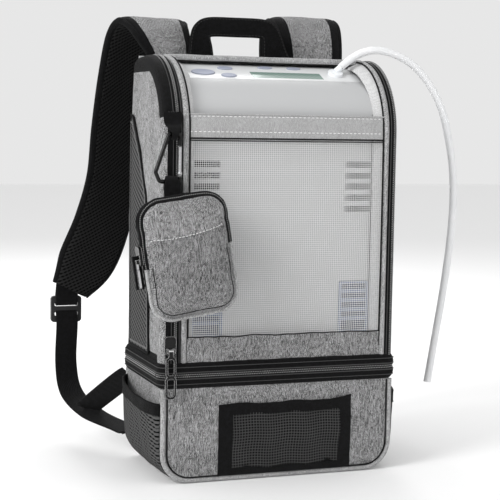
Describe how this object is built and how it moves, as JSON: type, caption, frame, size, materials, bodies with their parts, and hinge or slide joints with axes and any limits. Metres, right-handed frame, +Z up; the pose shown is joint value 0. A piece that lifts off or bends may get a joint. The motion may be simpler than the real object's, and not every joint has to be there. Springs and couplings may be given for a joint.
{
  "type": "portable oxygen concentrator",
  "caption": "Portable oxygen concentrator in a grey carrying backpack with a see-through front flap, side pockets, a hanging accessory pouch and a clear oxygen tube.",
  "frame": {"origin": "centre of the flat base on which the backpack stands", "axes": "+Z up; the front flap faces -Y; +X to the viewer's right when facing the front"},
  "size_m": [0.4015, 0.3065, 0.4764],
  "materials": {
    "heather_fabric": "matte",
    "black_fabric": "matte",
    "black_mesh": "matte",
    "window_mesh": "matte",
    "black_webbing": "matte",
    "zip_coil": "satin",
    "black_metal": "satin",
    "silver_metal": "satin",
    "white_case": "satin",
    "panel_white": "satin",
    "button_blue": "satin",
    "grille_blue": "satin",
    "lcd": "gloss",
    "clear_tube": "satin",
    "nozzle_white": "satin",
    "stiff_board": "matte",
    "lock_black": "satin",
    "rubber_black": "matte",
    "aluminium_cast": "satin",
    "steel": "satin",
    "black_plastic": "satin",
    "pcb_green": "satin",
    "battery_grey": "satin",
    "filter_foam": "matte",
    "silicone_hose": "matte"
  },
  "bodies": {
    "lower_pack": {"lower_shell": "heather_fabric", "base_board": "stiff_board", "lower_zip_tape": "black_fabric", "side_pocket_left": "black_mesh", "side_pocket_right": "black_mesh", "front_pocket_frame": "black_fabric", "front_pocket_mesh": "black_mesh", "strap_webbing": "black_webbing"},
    "upper_pack": {"upper_zip_tape": "black_fabric", "upper_shell": "heather_fabric", "side_vent_meshes": "black_mesh", "frame_sheet": "stiff_board", "back_pad": "black_mesh", "main_zip_tape": "black_fabric", "shoulder_strap_left": "heather_fabric", "shoulder_strap_right": "heather_fabric", "ladder_locks": "lock_black", "device_front_shell": "white_case", "device_rear_shell": "white_case", "exhaust_grilles": "grille_blue", "case_screws": "steel", "rubber_feet": "rubber_black", "control_panel": "panel_white", "lcd_module": "lcd", "control_pcb": "pcb_green", "outlet_nozzle": "nozzle_white", "oxygen_tube": "clear_tube", "battery_pack": "battery_grey", "compressor_body": "aluminium_cast", "compressor_cap": "aluminium_cast", "sieve_columns": "aluminium_cast", "valve_manifold": "aluminium_cast", "outlet_filter": "nozzle_white", "accumulator_tank": "aluminium_cast", "air_hose": "silicone_hose", "fan_frame": "black_plastic", "intake_filter": "filter_foam", "main_pcb": "pcb_green"},
    "front_flap": {"flap_frame": "heather_fabric", "flap_mesh": "window_mesh", "flap_hem": "heather_fabric", "pouch_tab": "black_webbing"},
    "main_slider": {"main_zip_slider": "black_metal"},
    "main_pull": {"main_zip_pull": "black_metal"},
    "lower_slider": {"lower_zip_slider": "black_metal"},
    "lower_pull": {"lower_zip_pull": "black_metal"},
    "snap_hook": {"carabiner": "black_metal"},
    "hook_gate": {"carabiner_gate": "silver_metal"},
    "pouch": {"pouch_body": "heather_fabric", "pouch_loop": "black_webbing", "pouch_zip_slider": "black_metal"},
    "pouch_pull": {"pouch_zip_pull": "black_metal"},
    "handle": {"carry_handle": "black_webbing"},
    "power_key": {"power_button": "button_blue"},
    "flow_up_key": {"flow_up_button": "button_blue"},
    "flow_down_key": {"flow_down_button": "button_blue"},
    "alarm_key": {"alarm_button": "button_blue"},
    "backlight_key": {"backlight_button": "button_blue"},
    "fan": {"fan_rotor": "black_plastic"},
    "compressor": {"compressor_rotor": "steel"}
  },
  "joints": [
    {"name": "pack_tilt", "type": "hinge", "parent": "lower_pack", "child": "upper_pack", "pos_m": [0, 0.067, 0.109], "axis": [-1, 0, 0], "range_deg": [0, 40], "deforming": ["strap_webbing"]},
    {"name": "flap_hinge", "type": "hinge", "parent": "upper_pack", "child": "front_flap", "pos_m": [0, -0.067, 0.121], "axis": [1, 0, 0], "range_deg": [0, 95], "deforming": ["oxygen_tube"]},
    {"name": "main_zip_slide", "type": "slide", "parent": "upper_pack", "child": "main_slider", "axis": [0, 0, 1], "range_m": [0, 0.13]},
    {"name": "main_pull_swing", "type": "hinge", "parent": "main_slider", "child": "main_pull", "pos_m": [-0.1175, -0.0726, 0.135], "axis": [-1, 0, 0], "range_deg": [0, 12]},
    {"name": "lower_zip_slide", "type": "slide", "parent": "lower_pack", "child": "lower_slider", "axis": [0, -1, 0], "range_m": [0, 0.07]},
    {"name": "lower_pull_swing", "type": "hinge", "parent": "lower_slider", "child": "lower_pull", "pos_m": [0.1318, 0.039, 0.109], "axis": [0, 0, 1], "range_deg": [-90, 0]},
    {"name": "hook_swing", "type": "hinge", "parent": "front_flap", "child": "snap_hook", "pos_m": [-0.117, -0.0755, 0.347], "axis": [0, 1, 0], "range_deg": [-12, 12]},
    {"name": "gate_open", "type": "hinge", "parent": "snap_hook", "child": "hook_gate", "pos_m": [-0.1115, -0.0755, 0.3088], "axis": [0, -1, 0], "range_deg": [0, 22], "stiffness_Nm_per_rad": 0.02, "springref_deg": -28.65},
    {"name": "pouch_swing", "type": "hinge", "parent": "snap_hook", "child": "pouch", "pos_m": [-0.121, -0.0755, 0.301], "axis": [-1, 0, 0], "range_deg": [0, 60]},
    {"name": "pouch_pull_swing", "type": "hinge", "parent": "pouch", "child": "pouch_pull", "pos_m": [-0.16045, -0.09825, 0.22605], "axis": [0, 1, 0], "range_deg": [0, 60]},
    {"name": "handle_fold", "type": "hinge", "parent": "upper_pack", "child": "handle", "pos_m": [0, 0.06, 0.4275], "axis": [1, 0, 0], "range_deg": [0, 75], "stiffness_Nm_per_rad": 0.15},
    {"name": "fan_spin", "type": "hinge", "parent": "upper_pack", "child": "fan", "pos_m": [-0.051, -0.034, 0.304], "axis": [0, 1, 0], "continuous": true},
    {"name": "compressor_spin", "type": "hinge", "parent": "upper_pack", "child": "compressor", "pos_m": [-0.048, -0.014, 0.214], "axis": [1, 0, 0], "continuous": true},
    {"name": "power_press", "type": "slide", "parent": "upper_pack", "child": "power_key", "axis": [0, 0.4158, -0.9095], "range_m": [0, 0.0008], "stiffness_N_per_m": 900, "springref_m": -0.0004},
    {"name": "flow_up_press", "type": "slide", "parent": "upper_pack", "child": "flow_up_key", "axis": [0, 0.4158, -0.9095], "range_m": [0, 0.0008], "stiffness_N_per_m": 900, "springref_m": -0.0004},
    {"name": "flow_down_press", "type": "slide", "parent": "upper_pack", "child": "flow_down_key", "axis": [0, 0.4158, -0.9095], "range_m": [0, 0.0008], "stiffness_N_per_m": 900, "springref_m": -0.0004},
    {"name": "alarm_press", "type": "slide", "parent": "upper_pack", "child": "alarm_key", "axis": [0, 0.4158, -0.9095], "range_m": [0, 0.0008], "stiffness_N_per_m": 900, "springref_m": -0.0004},
    {"name": "backlight_press", "type": "slide", "parent": "upper_pack", "child": "backlight_key", "axis": [0, 0.4158, -0.9095], "range_m": [0, 0.0008], "stiffness_N_per_m": 900, "springref_m": -0.0004}
  ]
}
